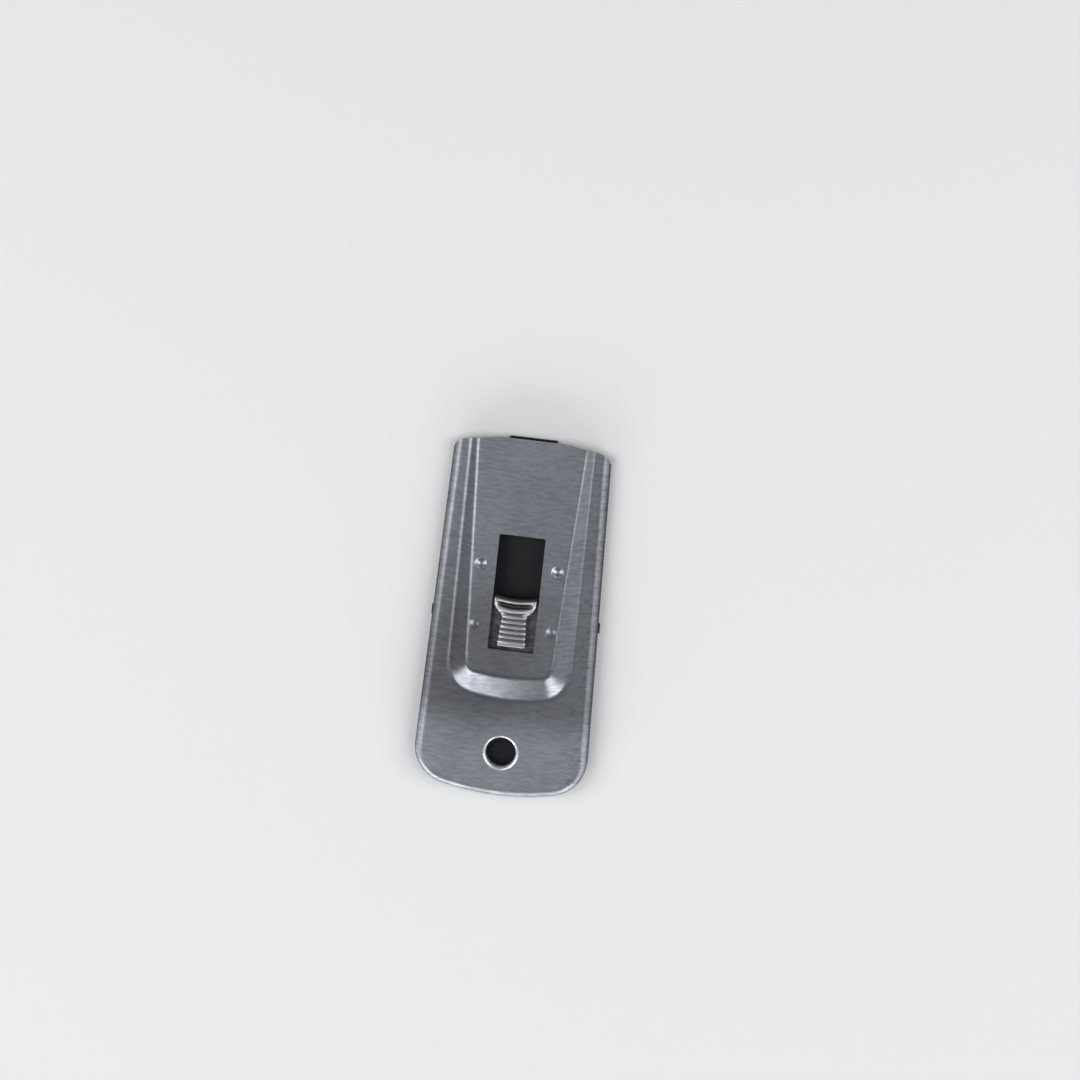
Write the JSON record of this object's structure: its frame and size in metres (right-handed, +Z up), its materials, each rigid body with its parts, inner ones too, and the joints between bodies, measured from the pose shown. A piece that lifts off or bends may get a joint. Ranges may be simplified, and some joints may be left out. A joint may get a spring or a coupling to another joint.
{
  "type": "razor blade scraper",
  "caption": "Flat stamped-steel safety scraper: a wedge-topped shell whose ribbed thumb slide pushes a single-edge razor blade out of the front mouth and draws it back in.",
  "frame": {"origin": "middle of the scraper's underside, where it rests on the table", "axes": "+Y along the scraper towards the blade end, +Z up through the thumb slide, +X across it"},
  "size_m": [0.045, 0.095, 0.0089],
  "materials": {
    "shell_steel": "fine grain brushed across the width",
    "black_plate": "black, satin",
    "spring_steel": "dull, unpolished",
    "rivet_steel": "plain",
    "thumb_steel": "bright, worn on the ribs",
    "blade_steel": "ground bright at the edge"
  },
  "bodies": {
    "housing": {"top_shell": "shell_steel", "bottom_plate": "black_plate"},
    "carrier": {"blade_carrier": "spring_steel", "leaf_spring": "spring_steel", "spring_rivets": "rivet_steel", "razor_blade": "blade_steel", "blade_spine": "rivet_steel"},
    "thumb": {"thumb_slide": "thumb_steel"}
  },
  "joints": [
    {"name": "blade_slide", "type": "slide", "parent": "housing", "child": "carrier", "axis": [0, 0.9997, -0.0253], "range_m": [0, 0.0158]},
    {"name": "thumb_press", "type": "slide", "parent": "carrier", "child": "thumb", "axis": [0, -0.0253, -0.9997], "range_m": [0, 0.0008], "stiffness_N_per_m": 1500, "deforming": ["leaf_spring"]}
  ]
}
